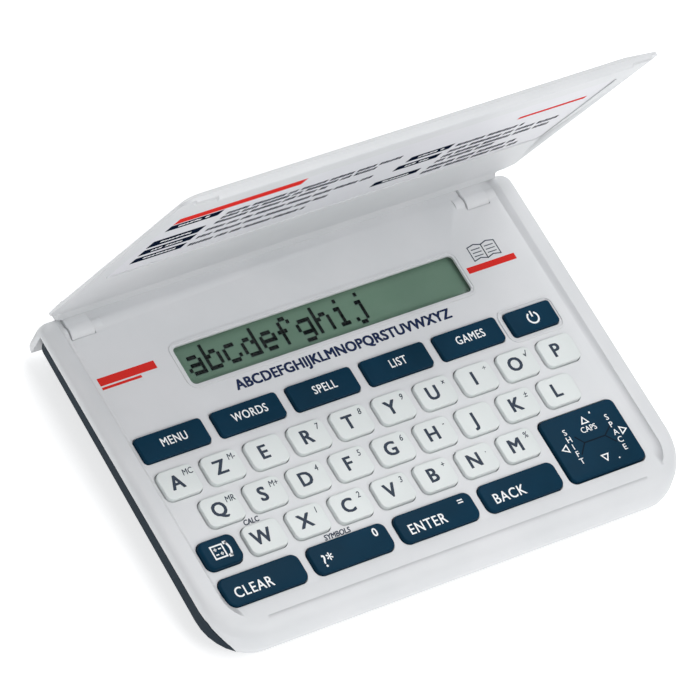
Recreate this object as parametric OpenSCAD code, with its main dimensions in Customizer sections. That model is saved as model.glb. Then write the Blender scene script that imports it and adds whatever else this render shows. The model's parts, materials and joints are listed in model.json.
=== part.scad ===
// Pocket electronic dictionary with a hinged lid, drawn at rest with the lid open.
// Millimetres. X runs left to right, Y from front to rear, Z up from the table.
// The origin is the middle of the flat underside.

/* [Case] */
// Width of the case
case_w = 124.2; // [122:0.2:132]
// Depth of the case
case_d = 83; // [82:0.2:88]
// Height of the key deck above the table
deck_h = 10.3; // [10.2:0.1:11.5]
// Thickness of the deck
deck_t = 1.4; // [1.2:0.1:1.6]
// Height of the rim above the deck
rim_rise = 1; // [0.8:0.1:1.1]
// Thickness of the case walls
wall = 1.8; // [1.5:0.1:2]
// Thickness of the case floor
floor_t = 1.6; // [1.5:0.1:1.8]
// Radius of the two front corners
front_r = 11; // [9:0.5:13]
// Radius of the two rear corners
rear_r = 2.5; // [2:0.5:4]
// Width of a side rim
rim_w = 5.3; // [4.9:0.05:5.8]
// Distance from the front edge to the foot of the front slope
front_border = 8; // [7.6:0.1:8.4]
// Width of the slope between the deck and the front rim
slope_run = 3.5; // [2.5:0.1:4]
// Width of the slope between the deck and a side rim
side_run = 1.1; // [0.8:0.1:1.6]
// How far the front edge rounds over
crown_run = 4.5; // [3:0.1:5]
// How far down the front edge rounds over
crown_drop = 5; // [4:0.1:5.4]
// Radius of the top edge along the sides
edge_r = 1.4; // [0.8:0.1:1.8]

/* [Two-tone split] */
// Drop of the colour line below the deck at the rear
seam_rear_drop = 0.85; // [0.6:0.05:1]
// Drop of the colour line below the deck at the front of the sides
seam_front_drop = 2.05; // [1.6:0.05:2.4]
// Height of the lower edge of the white front wall
skirt_h = 4.7; // [4.2:0.1:5.2]
// Height of the lower edge of the dark side band at the rear
band_rear_h = 7.5; // [6.8:0.1:8]
// Thickness of the white rear wall
rear_wall = 2.8; // [2.6:0.1:3]
// Height of the lower edge of the white rear wall
ear_h = 3.3; // [2.8:0.1:4]
// How far the underside is drawn in at the sides
belly_side = 6; // [5:0.2:6.4]
// How far the underside is drawn in at the front
belly_front = 3.2; // [2.6:0.2:3.2]
// How far the underside is drawn in at the rear
belly_rear = 3.5; // [2.5:0.2:4.5]

/* [Letter keys] */
// Gap between two letter keys of a row
letter_gap = 2.02; // [1.7:0.02:2.6]
// Gap between two rows of letter keys
row_gap = 2; // [1.7:0.05:2.6]
// Corner radius of a letter key
letter_r = 1.6; // [1.2:0.1:2.6]
// Margin between the left rim and the first key
key_margin = 0.45; // [0.3:0.05:0.8]
// Margin between the last key of the longest row and the right rim
right_margin = 3.97; // [3.6:0.01:4.4]
// How far the keys stand above the deck
key_proud = 0.9; // [0.9:0.1:1.4]
// How far a key travels
key_travel = 0.8; // [0.5:0.1:0.9]
// Gap between a key and its hole
key_gap = 0.2; // [0.15:0.01:0.25]

/* [Other keys] */
// Gap between two function keys
func_gap = 2.64; // [2.3:0.02:3]
// Depth of a function key
func_h = 6.1; // [5.8:0.1:6.6]
// Corner radius of a function key
func_r = 0.9; // [0.5:0.1:1.5]
// Extra spacing between the first letter row and the function keys
func_extra = 0.5; // [0.3:0.05:1]
// Width of the power key
power_w = 12.3; // [11.6:0.1:12.4]
// Depth of the power key
power_h = 5.9; // [5.7:0.1:6.3]
// Gap between two keys of the front row
wide_gap = 2.26; // [2:0.02:2.8]
// Depth of a key of the front row
wide_h = 6.75; // [6.2:0.05:7]
// Extra spacing between the front row and the last letter row
wide_extra = 0.2; // [0.1:0.05:0.6]
// Corner radius of the front row and of the tool key
wide_r = 1.8; // [1:0.1:2.4]
// How much higher the tool key stands than the others
tool_extra = 0.35; // [0:0.05:0.4]
// Width of the arrow pad
nav_w = 20.1; // [19:0.1:20.4]
// How far the arrow pad ends before the rear of the last letter row
nav_short = 0.125; // [0:0.005:0.5]
// Corner radius of the arrow pad
nav_r = 1.5; // [1:0.1:2.5]
// Gap between the arrow pad and its hole
nav_gap = 0.35; // [0.3:0.01:0.4]

/* [Display] */
// Width of the display opening
window_w = 74.1; // [70:0.1:76]
// Depth of the display opening
window_h = 9.6; // [8.8:0.1:10.4]
// Corner radius of the display opening
window_r = 1.2; // [0.6:0.1:2]
// Sideways shift of the display from the middle
window_x = 0.9; // [-1:0.1:1.5]
// Distance from the function keys to the middle of the display
window_rise = 15.35; // [15:0.05:15.6]
// Distance from the rear of the case to the middle of the display
window_back = 19.625; // [19.4:0.025:19.8]
// Thickness of the clear window
lens_t = 0.8; // [0.6:0.1:0.9]
// Thickness of the display glass
glass_t = 1.4; // [1.2:0.1:1.5]

/* [Lid] */
// Angle of the lid from closed, as drawn
lid_open = 77; // [60:1:100]
// Thickness of the lid in its middle
lid_t = 2.1; // [1.8:0.1:2.5]
// Thickness of the lid at its edges
lid_edge_t = 0.6; // [0.5:0.05:1.2]
// How far the lid stays inside the case at each side
lid_inset = 0.75; // [0.4:0.05:1.5]
// Distance from the front of the case to the closed lid
lid_setback = 6.5; // [6.2:0.1:6.9]
// Gap between the closed lid and the rim
lid_gap = 1; // [0.9:0.1:1.3]
// How far the lip at the free edge stands out in its middle
lip_proud = 1.2; // [0.8:0.05:1.6]
// How far the ends of the lip stand out, where they pass over the rims
lip_end_proud = 0.8; // [0.4:0.05:0.85]
// Length of each end of the lip
lip_end = 5.2; // [4.8:0.1:8]
// Depth of the recess for the printed card
card_recess = 0.5; // [0.35:0.05:0.6]
// Thickness of the printed card
card_t = 0.25; // [0.2:0.05:0.3]
// Width of the lid's frame beside the card
frame_w = 4.35; // [3.5:0.05:5.5]
// Distance from the free edge of the lid to the card
card_top_in = 12; // [10:0.1:14]
// Distance from the hinge side of the lid to the card
card_foot_in = 20.3; // [18:0.1:22]

/* [Hinge] */
// Distance from the rear of the case to the hinge axis
pivot_in = 3.9; // [3.8:0.05:4]
// Depth of the hinge axis below the deck
pivot_drop = 1.9; // [1.8:0.05:2]
// Radius of the rounded end of a hinge arm
barrel_r = 2.8; // [2.6:0.05:2.9]
// Width of a hinge arm
arm_w = 5.8; // [5:0.1:6]
// Distance from the left side of the case to the middle of the left arm
left_arm_in = 8.9; // [8.7:0.1:10.1]
// Distance from the right side of the case to the middle of the right arm
right_arm_in = 11; // [10.1:0.1:13.1]
// Radius of a hinge pin
pin_r = 0.8; // [0.7:0.05:0.9]

/* [Inside] */
// Thickness of the circuit board
board_t = 0.8; // [0.6:0.1:0.9]
// Thickness of the rubber key mat
mat_t = 0.65; // [0.5:0.05:0.7]
// Thickness of the battery door
door_t = 1.25; // [1.1:0.05:1.3]
// Width of the battery door
door_w = 48; // [46:0.5:50]
// Radius of a coin cell
cell_r = 10; // [9.9:0.05:10]
// Thickness of a coin cell
cell_t = 3.2; // [3:0.1:3.2]
// Radius of the thread of a case screw
screw_r = 0.95; // [0.8:0.05:1]

/* [Hidden] */
$fn = 48;
// Segments of the round parts inside a hull
hull_fn = 32;
// Small overlap that joins or cuts cleanly
eps = 0.05;

// Edges of the case
front = -case_d / 2;
rear = case_d / 2;
half_w = case_w / 2;

// Heights, from the deck down and up
rim_top = deck_h + rim_rise;
key_top = deck_h + key_proud;
deck_under = deck_h - deck_t;
key_lip = 0.5;
key_lip_t = 0.6;
lip_top = deck_under - 0.05;
key_bottom = lip_top - key_lip_t;
mat_top = key_bottom - key_travel - 0.1;
board_top = mat_top - mat_t;
board_under = board_top - board_t;
cell_bottom = door_t + 0.2;

// Colour line between the two shells
seam_rear = deck_h - seam_rear_drop;
seam_front = deck_h - seam_front_drop;
seam_gap = 0.1;
core_in = wall + 0.1;
ear_front = rear - rear_wall;

// Key grid. The rows share the depth, and the keys of a row its width, less their gaps.
deck_w = case_w - 2 * rim_w;
deck_front = front + front_border;
wide_margin = 0.75;
wide_y = deck_front + wide_margin + wide_h / 2;
window_y = rear - window_back;
func_y = window_y - window_rise;
pitch_y = (func_y - func_extra - wide_y - wide_extra) / 4;
letter_h = pitch_y - row_gap;
row3_y = wide_y + pitch_y + wide_extra;
row_y = [row3_y + 2 * pitch_y, row3_y + pitch_y, row3_y];
row_shift = [0, 0.5, 1];
key_left = -deck_w / 2 + key_margin;
pitch_x = (deck_w - key_margin - right_margin + letter_gap) / 10;
letter_w = pitch_x - letter_gap;
letters_right = key_left + 9 * pitch_x + letter_w;
power_x = letters_right - power_w / 2 + 0.1;
power_gap = 2.42;
func_w = (power_x - power_w / 2 - power_gap - 4 * func_gap - key_left) / 5;
func_pitch = func_w + func_gap;
nav_h = row3_y + letter_h / 2 - nav_short - deck_front - wide_margin;
nav_x = letters_right + 0.5 - nav_w / 2;
nav_y = deck_front + wide_margin + nav_h / 2;
nav_space = 2.2;
wide_left = key_left - 0.2;
wide_w = (nav_x - nav_w / 2 - nav_space - 3 * wide_gap - wide_left) / 4;
wide_pitch = wide_w + wide_gap;

// Every sprung key as centre x, centre y, width, depth, corner radius
row_len = [10, 9, 7];
letter_keys = [for (r = [0:2]) for (c = [0:row_len[r] - 1]) letter_at(r, c)];
func_keys = [for (i = [0:4]) func_at(i)];
wide_keys = [for (i = [0:3]) wide_at(i)];
power_at = [power_x, func_y - 0.2, power_w, power_h, func_r];
tool_at = [wide_left + letter_w / 2, row3_y, letter_w, letter_h, wide_r];
sprung_keys = concat(letter_keys, func_keys, wide_keys, [power_at, tool_at]);

// Hinge
pivot_y = rear - pivot_in;
pivot_z = deck_h - pivot_drop;
arm_xs = [left_arm_in - half_w, half_w - right_arm_in];
arm_gap = 0.2;
barrel_gap = 0.15;
cheek_t = 2.4;
pin_gap = 0.05;

// Lid, in its closed position
lid_z = rim_top + lid_gap;
lid_w = case_w - 2 * lid_inset;
lid_front = front + lid_setback;
lid_rear = pivot_y - 5.1;
lid_corner_r = 3;
lid_bevel = 4;
chamfer_x = 2;
chamfer_y = 1.6;
shelf_w = lid_w - 2 * 3.65;

// Display glass and the frame round it
lcd_side = 4;
lcd_end = 3.6;
lcd_frame_side = 2;
lcd_frame_end = 1.6;
lcd_w = window_w + 2 * lcd_side;
lcd_h = window_h + 2 * lcd_end;

// Case screws, front pair, middle pair and rear pair
boss_r = 1.9;
front_screw_in = 20.1;
front_screw_back = 5.5;
rear_screw_space = 6.5;
screw_at = [for (s = [-1, 1]) [s * (half_w - front_screw_in), front + front_screw_back],
    [key_left + pitch_x / 2 - key_lip - boss_r - 0.21, row_y[1]], [letters_right - 1.3, row_y[1]],
    for (s = [-1, 1]) [window_x + s * (lcd_w / 2 + lcd_frame_side + rear_screw_space), window_y + 3]];
post_r = 3;
head_r = 1.9;
head_t = 1.1;
head_seat = 1.3;

// Rectangle with round corners, centred
module rounded(w, h, r) {
    square([w - 2 * r, h], center = true);
    square([w, h - 2 * r], center = true);
    for (x = [-1, 1], y = [-1, 1])
        translate([x * (w / 2 - r), y * (h / 2 - r)]) circle(r);
}

// Plan of the case, drawn in by a distance at the sides, the front and the rear
module plan(side, at_front, at_rear, rf, rr) {
    hw = half_w - side;
    y0 = front + at_front;
    y1 = rear - at_rear;
    translate([-hw, y0 + rf]) square([2 * hw, y1 - rr - y0 - rf]);
    translate([-hw + rf, y0]) square([2 * (hw - rf), rf + eps]);
    translate([-hw + rr, y1 - rr - eps]) square([2 * (hw - rr), rr + eps]);
    for (x = [-1, 1]) {
        translate([x * (hw - rf), y0 + rf]) circle(rf);
        translate([x * (hw - rr), y1 - rr]) circle(rr);
    }
}

// How far a quarter ellipse has drawn in at a given drop below its top
function round_in(drop, run, rise) =
    drop >= rise ? 0 : run * (1 - sqrt(1 - pow(1 - drop / rise, 2)));

// Centre, size and corner radius of one key
function letter_at(r, c) = [key_left + letter_w / 2 + (c + row_shift[r]) * pitch_x,
    row_y[r], letter_w, letter_h, letter_r];
function func_at(i) = [key_left + func_w / 2 + i * func_pitch, func_y, func_w, func_h, func_r];
function wide_at(i) = [wide_left + wide_w / 2 + i * wide_pitch, wide_y, wide_w, wide_h, wide_r];

// Profile in Y and Z, drawn across the case from the middle out
module across(w) {
    translate([-w / 2, 0, 0]) rotate([90, 0, 90]) linear_extrude(w) children();
}

// Outer form of the white shell, rounded over at its top edges
module crown() {
    crown_h = rim_top - skirt_h;
    hull() {
        for (drop = [0, 0.2, 0.6, 1.2, 2.4, crown_drop, crown_h])
            translate([0, 0, rim_top - drop])
                linear_extrude(0.01)
                    plan(round_in(drop, edge_r, edge_r), round_in(drop, crown_run, crown_drop),
                        round_in(drop, 1.6, 3.4), front_r, rear_r, $fn = hull_fn);
    }
}

// White rear wall, which reaches lower than the sides and ends in an ear at each side
module rear_bar() {
    intersection() {
        across(case_w) polygon([[ear_front, ear_h], [rear - 0.5, ear_h + 0.6],
            [rear, ear_h + 1.8], [rear, deck_h - 2.4], [ear_front, deck_h - 1]]);
        linear_extrude(deck_h) plan(0, 0, 0, front_r, rear_r);
    }
}

// Everything below the colour line, from the rear wall to the front corners
module below_seam(gap) {
    across(case_w + 2) polygon([[ear_front - gap, -1], [ear_front - gap, seam_rear - gap],
        [front + 8.5, seam_front - gap], [front + 5, seam_front - 1 - gap],
        [front + 3, (seam_front + skirt_h) / 2 - 0.2 - gap], [front + 1.7, skirt_h - gap],
        [front - 1, skirt_h - gap], [front - 1, -1]]);
}

// Plan of the inner block that both shells enclose
module core(h0, h1) {
    translate([0, 0, h0]) linear_extrude(h1 - h0)
        plan(core_in, core_in, rear_wall, front_r - core_in, rear_r);
}

// Trough that leaves the rims standing at the sides and the front
module deck_recess() {
    over = 6;
    hull() {
        translate([0, 0, deck_h]) linear_extrude(0.01)
            recess_plan(deck_w / 2, deck_front, 5);
        translate([0, 0, rim_top]) linear_extrude(over)
            recess_plan(deck_w / 2 + side_run, deck_front - slope_run, 7);
    }
}

// Plan of the trough, open at the rear
module recess_plan(hw, y0, r) {
    $fn = hull_fn;
    translate([-hw, y0 + r]) square([2 * hw, rear + 5 - y0 - r]);
    for (x = [-1, 1]) translate([x * (hw - r), y0 + r]) circle(r);
}

// Hole for one key
module key_hole(k, gap) {
    translate([k[0], k[1], deck_under - 1]) linear_extrude(deck_t + 3)
        rounded(k[2] + 2 * gap, k[3] + 2 * gap, k[4] + gap);
}

// Opening of the display, with the pocket that takes the clear window from inside
module display_opening() {
    translate([window_x, window_y, deck_under - 1]) {
        linear_extrude(deck_t + 3) rounded(window_w, window_h, window_r);
        linear_extrude(1 + lens_t + eps) rounded(window_w + 4.5, window_h + 4, 0.6);
    }
}

// Low raised line round an opening
module bead(w, h, r, off, line, rise) {
    linear_extrude(rise) difference() {
        rounded(w + 2 * (off + line), h + 2 * (off + line), r + off + line);
        rounded(w + 2 * off, h + 2 * off, r + off);
    }
}

// Slot in the deck and the rear wall where a hinge arm turns
module arm_slot(x) {
    w = arm_w + 2 * arm_gap;
    translate([x, 0, 0]) across(w) union() {
        translate([pivot_y, pivot_z]) circle(barrel_r + barrel_gap);
        translate([pivot_y, pivot_z - barrel_r - barrel_gap]) square([pivot_in + 1, 20]);
    }
}

// Pair of cheeks beside a slot that hold the hinge pin
module cheeks(x) {
    for (s = [-1, 1])
        translate([x + s * (arm_w / 2 + arm_gap + cheek_t / 2), 0, 0]) across(cheek_t)
            union() {
                translate([pivot_y, pivot_z]) circle(barrel_r - 0.5);
                translate([pivot_y - barrel_r + 0.5, pivot_z])
                    square([2 * barrel_r - 1, deck_under - pivot_z + eps]);
                translate([pivot_y, pivot_z - barrel_r + 0.5])
                    square([ear_front - pivot_y + eps, barrel_r]);
            }
}

module pin_bore(x, r, len) {
    translate([x - len / 2, pivot_y, pivot_z]) rotate([0, 90, 0]) cylinder(r = r, h = len);
}

module upper_case() color("whitesmoke") {
    difference() {
        union() {
            difference() {
                union() {
                    crown();
                    rear_bar();
                }
                difference() {
                    below_seam(0);
                    core(-2, rim_top);
                }
                core(-2, deck_under);
                deck_recess();
            }
            for (x = arm_xs) cheeks(x);
            for (p = screw_at) translate([p[0], p[1], board_under + 0.1])
                cylinder(r = boss_r, h = deck_under - board_under - 0.1 + eps);
            translate([power_at[0], power_at[1], deck_h - eps])
                bead(power_w, power_h, func_r, 0.9, 0.4, 0.2 + eps);
            translate([window_x, window_y, deck_h - eps])
                bead(window_w, window_h, window_r, 0.5, 0.5, 0.2 + eps);
        }
        for (k = sprung_keys) key_hole(k, key_gap);
        key_hole([nav_x, nav_y, nav_w, nav_h, nav_r], nav_gap);
        display_opening();
        for (x = arm_xs) arm_slot(x);
        for (x = arm_xs) pin_bore(x, pin_r + 0.02, arm_w + 2 * arm_gap + 2 * cheek_t - 1);
        for (p = screw_at) translate([p[0], p[1], board_under]) cylinder(r = screw_r + 0.05,
            h = deck_h - 0.9 - board_under);
    }
}

// Outer form of the dark shell, an upright band over a drawn-in underside
module hull_form(inset, low, high) {
    drop = band_rear_h - skirt_h;
    keel_w = case_w - 2 * belly_side * (1 - ear_h / band_rear_h);
    hull() {
        intersection() {
            translate([0, 0, skirt_h + low]) linear_extrude(high - skirt_h - low)
                plan(inset, inset, rear_wall + seam_gap + inset, front_r - inset, rear_r,
                    $fn = hull_fn);
            across(case_w) polygon([[front, skirt_h + low], [ear_front, skirt_h + drop + low],
                [ear_front, high], [front, high]]);
        }
        translate([-keel_w / 2 + inset, ear_front - seam_gap - inset - 1, ear_h + 0.2 + low])
            cube([keel_w - 2 * inset, 1, 0.5]);
        translate([0, 0, low]) linear_extrude(0.01)
            plan(belly_side + inset, belly_front + inset, rear_wall + belly_rear + inset,
                front_r - belly_front, rear_r, $fn = hull_fn);
    }
}

// Rectangle of the battery door, from its front end to past the rear of the case
door_front = window_y - cell_r - 0.9;
module door_plan(w, gap) {
    translate([-w / 2 - gap, door_front - gap]) square([w + 2 * gap, rear - door_front + 1]);
}

// Walls round the coin cells
module bay_walls() {
    bay_w = door_w + 2.8;
    bay_t = 1.2;
    bay_top = board_under - 0.2;
    translate([0, 0, floor_t - eps]) linear_extrude(bay_top - floor_t + eps) {
        for (s = [-1, 1]) translate([s * (bay_w + bay_t) / 2, door_front - 0.8])
            translate([-bay_t / 2, -bay_t]) square([bay_t, 2 * cell_r + 3]);
        translate([-bay_w / 2 - bay_t, door_front - 0.8 - bay_t]) square([bay_w + 2 * bay_t, bay_t]);
    }
}

module lower_case() color("#2a3840") {
    difference() {
        union() {
            difference() {
                intersection() {
                    hull_form(0, 0, rim_top);
                    below_seam(seam_gap);
                }
                hull_form(wall, floor_t, rim_top + 4);
                translate([-half_w + wall, pivot_y - barrel_r - 1, pivot_z - barrel_r - 0.3])
                    cube([case_w - 2 * wall, 20, 20]);
            }
            intersection() {
                union() {
                    for (p = screw_at) translate([p[0], p[1], 0])
                        cylinder(r = post_r, h = board_under);
                    bay_walls();
                }
                hull_form(0, 0, rim_top);
                core(-1, rim_top);
            }
        }
        for (p = screw_at) translate([p[0], p[1], -1]) {
            cylinder(r = screw_r + 0.25, h = board_under + 2);
            cylinder(r = head_r + 0.2, h = head_seat + 1);
        }
        translate([0, 0, -1]) linear_extrude(floor_t + 1 + eps) door_plan(door_w, 0.2);
        translate([0, 0, 0.45]) linear_extrude(door_t - 0.55) door_plan(door_w + 2, 0.2);
    }
}

module battery_door() color("#2a3840") {
    intersection() {
        union() {
            translate([0, 0, 0.05]) linear_extrude(door_t) door_plan(door_w, 0);
            translate([0, 0, 0.55]) linear_extrude(door_t - 0.75) door_plan(door_w + 2, 0);
        }
        hull_form(0, 0, rim_top);
    }
}

module case_screws() color("silver") {
    for (p = screw_at) translate([p[0], p[1], head_seat - head_t]) {
        difference() {
            cylinder(r = head_r, h = head_t);
            for (a = [0, 90]) rotate([0, 0, a])
                translate([-head_r * 0.6, -0.25, -eps]) cube([head_r * 1.2, 0.5, 0.6]);
        }
        cylinder(r = screw_r, h = board_top + 1 - head_seat + head_t);
    }
}

module display_window() color([0.85, 0.9, 0.88, 0.4]) {
    translate([window_x, window_y, deck_under]) linear_extrude(lens_t)
        rounded(window_w + 4.3, window_h + 3.8, 0.5);
}

glass_z = deck_under - 0.05 - glass_t;

module lcd_glass() color("#6f8c80") {
    translate([window_x, window_y, glass_z + glass_t / 2]) {
        cube([lcd_w, lcd_h, glass_t], center = true);
    }
}

// Frame that holds the display glass against the window
module lcd_frame() color("#202326") {
    translate([window_x, window_y, board_top]) linear_extrude(deck_under - 0.05 - board_top)
        difference() {
            square([lcd_w + 2 * lcd_frame_side, lcd_h + 2 * lcd_frame_end], center = true);
            square([lcd_w + 0.4, lcd_h + 0.4], center = true);
        }
}

module lcd_connector() color("#3a3a40") {
    strip_w = 2;
    translate([window_x - window_w / 2, window_y - lcd_h / 2 + 0.5, board_top])
        cube([window_w, strip_w, glass_z - board_top]);
}

board_w = deck_w + 1;
board_y0 = deck_front - 0.1;
board_y1 = window_y + lcd_h / 2 + 2.9;

module circuit_board() color("#2f6b45") {
    translate([0, 0, board_under]) linear_extrude(board_t) difference() {
        translate([0, (board_y0 + board_y1) / 2]) rounded(board_w, board_y1 - board_y0, 2);
        for (p = screw_at) translate(p) circle(boss_r + 0.3);
    }
}

// Drop of resin over the bonded chip, on the underside of the board
module chip_blob() color("#15171a") {
    blob_r = 8;
    blob_t = 1.1;
    ball_r = (blob_r * blob_r + blob_t * blob_t) / (2 * blob_t);
    translate([6, row_y[1], board_under]) rotate_extrude() intersection() {
        translate([0, ball_r - blob_t]) circle(ball_r);
        translate([0, -blob_t]) square([blob_r + 1, blob_t]);
    }
}

cup_r = 1.9;
cup_in = 1.5;
plunger_r = 1.3;

// Rubber sheet on the board with a springy cup under each key
module key_mat() color("#d9dcd6") {
    difference() {
        union() {
            translate([0, 0, board_top]) linear_extrude(mat_t)
                translate([0, (deck_front + func_y + func_h / 2) / 2 + 0.8])
                    rounded(deck_w, func_y + func_h / 2 - deck_front + 1, 1.5);
            for (k = sprung_keys) translate([k[0], k[1], mat_top - eps])
                cylinder(r = cup_r, h = key_travel + eps);
        }
        for (k = sprung_keys) translate([k[0], k[1], mat_top])
            cylinder(r = cup_in, h = key_travel + 1);
        for (p = screw_at) translate([p[0], p[1], board_top - 1]) cylinder(r = boss_r + 0.3, h = 4);
    }
}

cell_x = cell_r + 0.6;

module coin_cells() color("silver") {
    for (s = [-1, 1]) translate([s * cell_x, window_y, cell_bottom]) {
        cylinder(r = cell_r, h = cell_t);
        cylinder(r = cell_r - 1.4, h = cell_t + 0.1);
    }
}

// Sprung metal strips between the board and the tops of the coin cells
module battery_contacts() color("#c9b27a") {
    strip_t = 0.3;
    strip_w = 4;
    strip_l = 12;
    foot_l = 3;
    top = cell_bottom + cell_t + 0.15;
    for (s = [-1, 1]) translate([s * cell_x - strip_l / 2, window_y - strip_w / 2, top]) {
        cube([strip_l, strip_w, strip_t]);
        cube([strip_t, strip_w, board_under - top]);
        translate([0, 0, board_under - top - strip_t]) cube([foot_l, strip_w, strip_t]);
    }
}

// Swings a closed lid piece about the hinge to the drawn angle
module swung() {
    translate([0, pivot_y, pivot_z]) rotate([-lid_open, 0, 0])
        translate([0, -pivot_y, -pivot_z]) children();
}

// Plan of the lid, with cut corners at the hinge side
module lid_plan(in) {
    $fn = hull_fn;
    hw = lid_w / 2 - in;
    y0 = lid_front + in;
    y1 = lid_rear - in * 0.4;
    r = lid_corner_r;
    polygon([[-hw, y0 + r], [hw, y0 + r], [hw, y1 - chamfer_y], [hw - chamfer_x, y1],
        [-hw + chamfer_x, y1], [-hw, y1 - chamfer_y]]);
    translate([-hw + r, y0]) square([2 * (hw - r), r + eps]);
    for (x = [-1, 1]) translate([x * (hw - r), y0 + r]) circle(r);
}

// Shelf along the hinge side that turns down towards the arms
module lid_shelf() {
    across(shelf_w) polygon([[lid_rear - 2, lid_z], [lid_rear + 1.2, lid_z],
        [pivot_y - 3, lid_z - 0.75], [pivot_y - 2.6, lid_z - 0.75], [pivot_y - 1.4, lid_z + 0.05],
        [pivot_y - 1.2, lid_z + 1], [pivot_y - 2.4, lid_z + lid_t - 0.2], [lid_rear - 2, lid_z + lid_t]]);
}

// Hinge arm with its rounded end
module lid_arm(x) {
    web_t = 1.3;
    web_out = barrel_r - 0.3;
    reach = (lid_z + 0.4 - pivot_z) / sin(lid_open);
    translate([x, 0, 0]) across(arm_w) translate([pivot_y, pivot_z]) union() {
        circle(barrel_r);
        rotate(lid_open) translate([0, web_out - web_t]) square([reach, web_t]);
    }
}

// Rounded lip along the free edge of the lid
module lid_lip(length, proud) {
    lip_w = 1.5;
    lip_foot = 2.1;
    across(length) translate([lid_front, lid_z]) union() {
        translate([lip_w / 2, -proud + lip_w / 2]) circle(lip_w / 2);
        translate([0, -proud + lip_w / 2]) square([lip_w, proud + lid_edge_t / 2 - lip_w / 2]);
        polygon([[lip_w - 0.3, 0.2], [lip_w - 0.3, -proud * 0.4], [lip_foot, 0], [lip_foot, 0.2]]);
    }
}

card_w = lid_w - 2 * frame_w;
card_front = lid_front + card_top_in;
card_rear = lid_rear - card_foot_in;

module lid() color("whitesmoke") {
    swung() difference() {
        union() {
            hull() {
                translate([0, 0, lid_z]) linear_extrude(lid_edge_t) lid_plan(0);
                translate([0, 0, lid_z + lid_t - 0.01]) linear_extrude(0.01) lid_plan(lid_bevel);
            }
            lid_shelf();
            lid_lip(lid_w - 2 * lid_corner_r, lip_end_proud);
            lid_lip(lid_w - 2 * lid_corner_r - 2 * lip_end, lip_proud);
            for (x = arm_xs) lid_arm(x);
        }
        translate([0, (card_front + card_rear) / 2, lid_z - 2]) linear_extrude(2 + card_recess)
            rounded(card_w, card_rear - card_front, 1);
        for (x = arm_xs) pin_bore(x, pin_r + pin_gap, arm_w + 2);
    }
}

module lid_card() color("white") {
    swung() translate([0, (card_front + card_rear) / 2, lid_z + card_recess - card_t])
        linear_extrude(card_t) rounded(card_w - 0.4, card_rear - card_front - 0.4, 0.8);
}

module hinge_pins() color("silver") {
    for (x = arm_xs) pin_bore(x, pin_r, arm_w + 2 * arm_gap + 2 * cheek_t - 1.2);
}

// Hollow key cap with a retaining lip and a plunger
module key_cap(k, extra) {
    skin = 0.9;
    roof = key_top - 1.2;
    translate([k[0], k[1], 0]) {
        difference() {
            union() {
                translate([0, 0, key_bottom]) linear_extrude(key_top + extra - key_bottom)
                    rounded(k[2], k[3], k[4]);
                translate([0, 0, key_bottom]) linear_extrude(key_lip_t)
                    rounded(k[2] + 2 * key_lip, k[3] + 2 * key_lip, k[4] + key_lip);
            }
            translate([0, 0, key_bottom - 1]) linear_extrude(roof - key_bottom + 1)
                rounded(k[2] - 2 * skin, k[3] - 2 * skin, max(k[4] - skin, 0.3));
        }
        translate([0, 0, key_bottom]) cylinder(r = plunger_r, h = roof - key_bottom + eps);
    }
}

module letter_key(r, c) color("#dadedd") {
    key_cap(letter_at(r, c), 0);
}

module function_key(i) color("#203c4e") {
    key_cap(func_at(i), 0);
}

module wide_key(i) color("#203c4e") {
    key_cap(wide_at(i), 0);
}

module power_key() color("#203c4e") {
    key_cap(power_at, 0);
}

module tool_key() color("#203c4e") {
    key_cap(tool_at, tool_extra);
}

// Rocker under the arrow pad, with a ridge below along X and a ridge above along Y
ridge_r = 0.5;
rocker_t = 0.6;
rocker_w = 14;
rocker_d = 9;
rocker_z = mat_top + 0.05 + ridge_r;
pad_axis_z = rocker_z + rocker_t;

module nav_rocker() color("#c8ccce") {
    translate([nav_x, nav_y, rocker_z]) {
        translate([-rocker_w / 2, -rocker_d / 2, 0]) cube([rocker_w, rocker_d, rocker_t]);
        translate([-rocker_w / 2, 0, 0]) rotate([0, 90, 0]) cylinder(r = ridge_r, h = rocker_w);
        translate([0, -rocker_d / 2, rocker_t]) rotate([-90, 0, 0]) cylinder(r = ridge_r, h = rocker_d);
    }
}

module nav_pad() color("#203c4e") {
    pad_bottom = pad_axis_z + ridge_r + 0.05;
    pad_drop = 0.1;
    translate([nav_x, nav_y, pad_bottom]) linear_extrude(key_top - pad_drop - pad_bottom)
        rounded(nav_w, nav_h, nav_r);
}

upper_case();
lower_case();
battery_door();
case_screws();
display_window();
lcd_glass();
lcd_frame();
lcd_connector();
circuit_board();
chip_blob();
key_mat();
coin_cells();
battery_contacts();
lid();
lid_card();
hinge_pins();
letter_key(0, 0);  // key_a
letter_key(0, 1);  // key_z
letter_key(0, 2);  // key_e
letter_key(0, 3);  // key_r
letter_key(0, 4);  // key_t
letter_key(0, 5);  // key_y
letter_key(0, 6);  // key_u
letter_key(0, 7);  // key_i
letter_key(0, 8);  // key_o
letter_key(0, 9);  // key_p
letter_key(1, 0);  // key_q
letter_key(1, 1);  // key_s
letter_key(1, 2);  // key_d
letter_key(1, 3);  // key_f
letter_key(1, 4);  // key_g
letter_key(1, 5);  // key_h
letter_key(1, 6);  // key_j
letter_key(1, 7);  // key_k
letter_key(1, 8);  // key_l
letter_key(2, 0);  // key_w
letter_key(2, 1);  // key_x
letter_key(2, 2);  // key_c
letter_key(2, 3);  // key_v
letter_key(2, 4);  // key_b
letter_key(2, 5);  // key_n
letter_key(2, 6);  // key_m
function_key(0);  // function_key_1
function_key(1);  // function_key_2
function_key(2);  // function_key_3
function_key(3);  // function_key_4
function_key(4);  // function_key_5
power_key();
tool_key();
wide_key(0);  // clear_key
wide_key(1);  // symbol_key
wide_key(2);  // enter_key
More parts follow.
